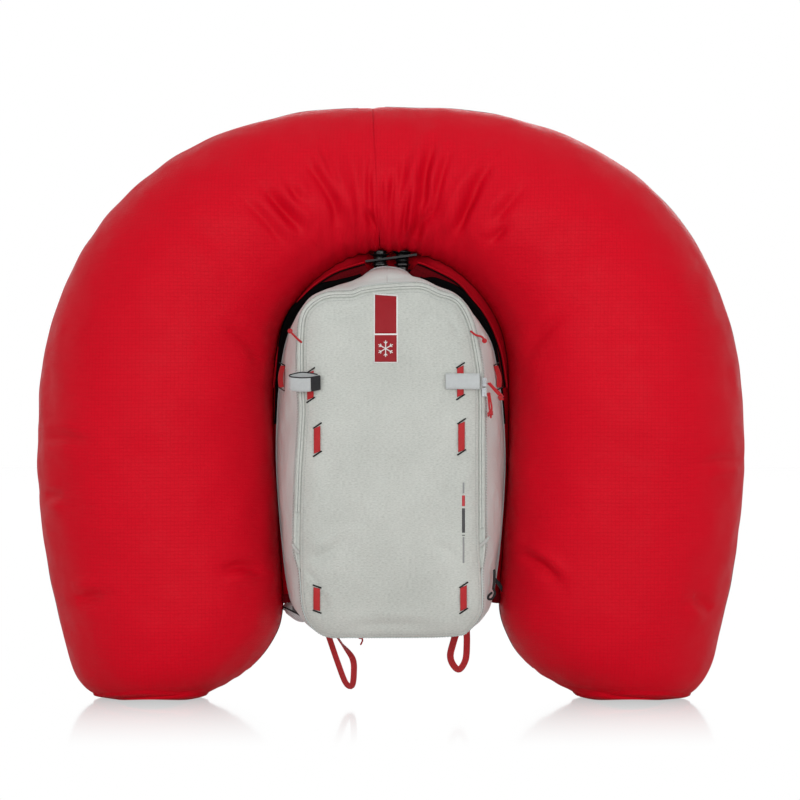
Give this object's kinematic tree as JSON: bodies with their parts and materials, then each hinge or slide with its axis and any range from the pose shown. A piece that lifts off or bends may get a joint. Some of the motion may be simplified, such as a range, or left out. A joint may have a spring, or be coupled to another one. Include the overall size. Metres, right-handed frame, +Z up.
{
  "type": "avalanche airbag backpack",
  "caption": "Grey ski touring backpack with its red horseshoe avalanche airbag inflated around it, with harness, release handle and gas system.",
  "frame": {"origin": "on the floor, under the middle of the airbag's two lobes", "axes": "+Z up, -Y out of the pack's front panel, +Y towards the wearer, +X to the wearer's right"},
  "size_m": [1.0318, 0.4026, 0.8647],
  "materials": {
    "airbag_nylon": "ripstop nylon, slight sheen",
    "pack_cloth": "light grey coated ripstop",
    "red_webbing": "woven webbing and cord",
    "red_label": "printed label",
    "black_cloth": "black nylon and webbing",
    "black_mesh": "spacer mesh over foam",
    "black_plastic": "moulded nylon",
    "black_hose": "hose and cable sheath",
    "steel": "satin",
    "aluminium": "anodised",
    "red_plastic": "moulded grip"
  },
  "bodies": {
    "root": {"airbag_right_front": "airbag_nylon", "airbag_right_back": "airbag_nylon", "airbag_left_front": "airbag_nylon", "airbag_left_back": "airbag_nylon", "gusset_top": "pack_cloth", "gusset_left": "pack_cloth", "gusset_right": "pack_cloth", "bottom_panel": "pack_cloth", "front_panel_lower": "pack_cloth", "hip_pocket_left": "pack_cloth", "gear_loop_left_3": "red_webbing", "gear_loop_right_3": "red_webbing", "gear_loop_gusset_left": "red_webbing", "gear_loop_gusset_right": "red_webbing", "divider_panel": "black_cloth", "compartment_wall": "black_cloth", "airbag_cover_front": "black_cloth", "airbag_cover_rear": "black_cloth", "trigger_pocket": "black_cloth", "back_pad": "black_mesh", "shoulder_strap_left": "black_mesh", "shoulder_strap_right": "black_mesh", "hip_wing_left": "black_mesh", "hip_wing_right": "black_mesh", "airbag_collar_plate": "black_plastic", "main_zip_chain": "black_plastic", "frame_sheet": "black_plastic", "venturi_left": "black_plastic", "venturi_right": "black_plastic", "side_bungee_hook": "black_plastic", "pressure_hose": "black_hose", "release_cable": "black_hose", "striker_spring": "steel", "firing_head": "aluminium", "gas_manifold": "aluminium", "hip_buckle_plate": "aluminium"},
    "front_flap": {"front_flap": "pack_cloth", "label_badge": "red_label", "gear_loop_left_1": "red_webbing", "gear_loop_left_2": "red_webbing", "gear_loop_right_1": "red_webbing", "gear_loop_right_2": "red_webbing"},
    "zip_slider_upper": {"zip_slider_upper": "black_plastic"},
    "zip_slider_lower": {"zip_slider_lower": "black_plastic"},
    "zip_pull_upper": {"zip_pull_upper": "red_webbing"},
    "zip_pull_lower": {"zip_pull_lower": "red_webbing"},
    "axe_tab_left": {"axe_tab_left": "pack_cloth"},
    "axe_tab_right": {"axe_tab_right": "pack_cloth"},
    "ski_loop_left": {"ski_loop_left": "red_webbing"},
    "ski_loop_right": {"ski_loop_right": "red_webbing"},
    "trigger": {"trigger_handle": "red_plastic"},
    "firing_lever": {"firing_lever": "steel"},
    "striker": {"striker_pin": "steel"},
    "cartridge": {"cartridge": "steel"},
    "haul_handle": {"haul_handle": "black_cloth"},
    "hip_buckle_hook": {"hip_buckle_hook": "aluminium"},
    "sternum": {"sternum_strap_left": "black_cloth", "sternum_buckle_female": "black_plastic"},
    "sternum_release": {"sternum_strap_right": "black_cloth", "sternum_buckle_male": "black_plastic"}
  },
  "joints": [
    {"name": "front_flap_open", "type": "hinge", "parent": "root", "child": "front_flap", "pos_m": [0, -0.187, 0.25], "axis": [1, 0, 0], "range_deg": [0, 105]},
    {"name": "zip_slider_upper_run", "type": "slide", "parent": "root", "child": "zip_slider_upper", "axis": [-0.0244, 0, 0.9997], "range_m": [0, 0.08]},
    {"name": "zip_slider_lower_run", "type": "slide", "parent": "root", "child": "zip_slider_lower", "axis": [-0.0244, 0, 0.9997], "range_m": [-0.178, 0]},
    {"name": "zip_pull_upper_swing", "type": "hinge", "parent": "zip_slider_upper", "child": "zip_pull_upper", "pos_m": [0.1357, -0.169, 0.461], "axis": [0, 1, 0], "range_deg": [-45, 5]},
    {"name": "zip_pull_lower_swing", "type": "hinge", "parent": "zip_slider_lower", "child": "zip_pull_lower", "pos_m": [0.1357, -0.169, 0.447], "axis": [0, 1, 0], "range_deg": [-45, 2]},
    {"name": "axe_tab_left_swing", "type": "hinge", "parent": "front_flap", "child": "axe_tab_left", "pos_m": [-0.123, -0.1735, 0.463], "axis": [0, 0, 1], "range_deg": [-60, 2]},
    {"name": "axe_tab_right_swing", "type": "hinge", "parent": "front_flap", "child": "axe_tab_right", "pos_m": [0.1245, -0.1886, 0.463], "axis": [0, 0, 1], "range_deg": [0, 150]},
    {"name": "ski_loop_left_swing", "type": "hinge", "parent": "root", "child": "ski_loop_left", "pos_m": [-0.0905, -0.045, 0.112], "axis": [1, 0, 0], "range_deg": [-30, 30]},
    {"name": "ski_loop_right_swing", "type": "hinge", "parent": "root", "child": "ski_loop_right", "pos_m": [0.104, -0.045, 0.112], "axis": [1, 0, 0], "range_deg": [-30, 30]},
    {"name": "trigger_pull", "type": "slide", "parent": "root", "child": "trigger", "axis": [0, 0, -1], "range_m": [0, 0.06]},
    {"name": "firing_lever_turn", "type": "hinge", "parent": "root", "child": "firing_lever", "pos_m": [-0.101, -0.046, 0.411], "axis": [0, 1, 0], "range_deg": [0, 20]},
    {"name": "striker_travel", "type": "slide", "parent": "root", "child": "striker", "axis": [0, 0, -1], "range_m": [0, 0.0062], "deforming": ["striker_spring"]},
    {"name": "cartridge_unscrew", "type": "hinge", "parent": "root", "child": "cartridge", "pos_m": [-0.07, -0.046, 0.3], "axis": [0, 0, 1], "range_deg": [0, 1080]},
    {"name": "haul_handle_lift", "type": "hinge", "parent": "root", "child": "haul_handle", "pos_m": [0, 0.0353, 0.6], "axis": [1, 0, 0], "range_deg": [-5, 95]},
    {"name": "hip_buckle_unhook", "type": "hinge", "parent": "root", "child": "hip_buckle_hook", "pos_m": [0.027, 0.196, 0.158], "axis": [0, 0, 1], "range_deg": [-40, 0]},
    {"name": "sternum_height", "type": "slide", "parent": "root", "child": "sternum", "axis": [0, 0, 1], "range_m": [-0.025, 0.025]},
    {"name": "sternum_buckle_open", "type": "slide", "parent": "sternum", "child": "sternum_release", "axis": [1, 0, 0], "range_m": [0, 0.025]}
  ],
  "couplings": [
    {"joint": "firing_lever_turn", "follows": "trigger_pull", "rad_per_m": 5.81},
    {"joint": "striker_travel", "follows": "trigger_pull", "ratio": 0.1}
  ]
}
